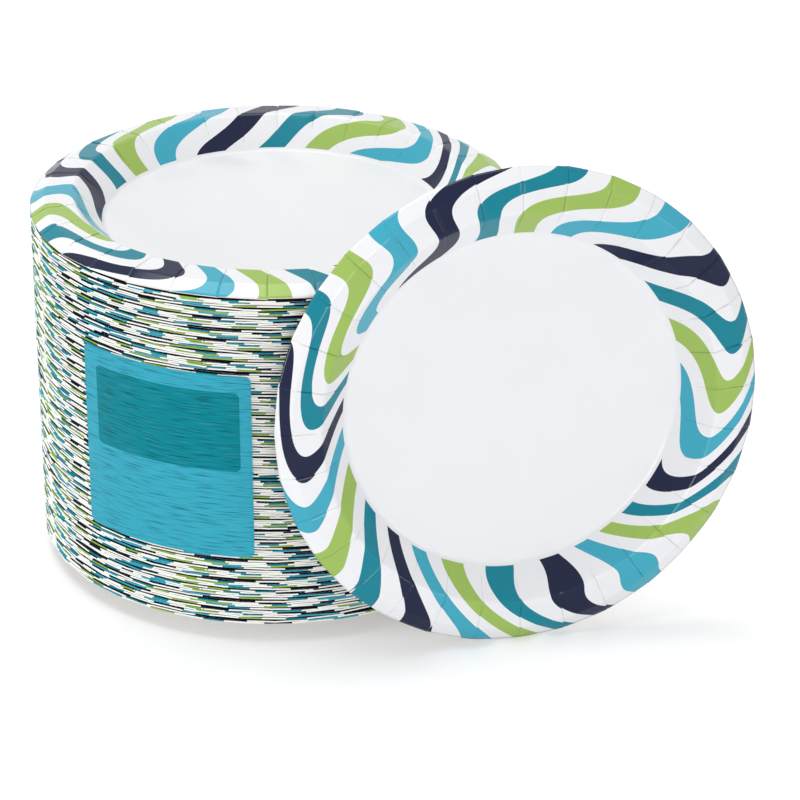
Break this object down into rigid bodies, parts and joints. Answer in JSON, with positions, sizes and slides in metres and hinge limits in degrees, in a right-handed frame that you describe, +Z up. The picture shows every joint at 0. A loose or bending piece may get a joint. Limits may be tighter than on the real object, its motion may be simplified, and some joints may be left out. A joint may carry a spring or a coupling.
{
  "type": "stack of paper plates",
  "caption": "Tall nested stack of round pressed paper plates with striped pleated rims and a blank film label, and one like plate leaning on its front.",
  "frame": {"origin": "on the floor, at the centre of the lowest plate's foot", "axes": "+Z up along the stack's axis, -Y to the front, +X to the right, where the leaning plate stands"},
  "size_m": [0.3186, 0.2353, 0.215],
  "materials": {
    "stacked_board": "printed and coated board, cut edges showing",
    "plate_board": "coated white board, gloss, printed rim",
    "label_film": "satin printed film"
  },
  "bodies": {
    "root": {"plates_001_004": "stacked_board", "plates_005_008": "stacked_board", "plates_009_012": "stacked_board", "plates_013_016": "stacked_board", "plates_017_020": "stacked_board", "plates_021_024": "stacked_board", "plates_025_028": "stacked_board", "plates_029_032": "stacked_board", "plates_033_036": "stacked_board", "plates_037_040": "stacked_board", "plates_041_044": "stacked_board", "plates_045_048": "stacked_board", "plates_049_052": "stacked_board", "plates_053_056": "stacked_board", "plates_057_060": "stacked_board", "plates_061_064": "stacked_board", "plates_065_068": "stacked_board", "plates_069_072": "stacked_board", "plates_073_076": "stacked_board", "plates_077_080": "stacked_board", "plates_081_084": "stacked_board", "plates_085_088": "stacked_board", "plates_089_092": "stacked_board", "plates_093_096": "stacked_board", "plates_097_100": "stacked_board", "plates_101_104": "stacked_board", "plates_105_108": "stacked_board", "plates_109_112": "stacked_board", "plates_113_116": "stacked_board", "plates_117_120": "stacked_board", "plates_121_124": "stacked_board", "plates_125_128": "stacked_board", "plates_129_132": "stacked_board", "plates_133_136": "stacked_board", "plates_137_140": "stacked_board", "plates_141_144": "stacked_board", "plates_145_148": "stacked_board", "plates_149_152": "stacked_board", "plates_153_156": "stacked_board", "top_plate": "plate_board", "leaning_plate": "plate_board", "label": "label_film"}
  },
  "joints": []
}
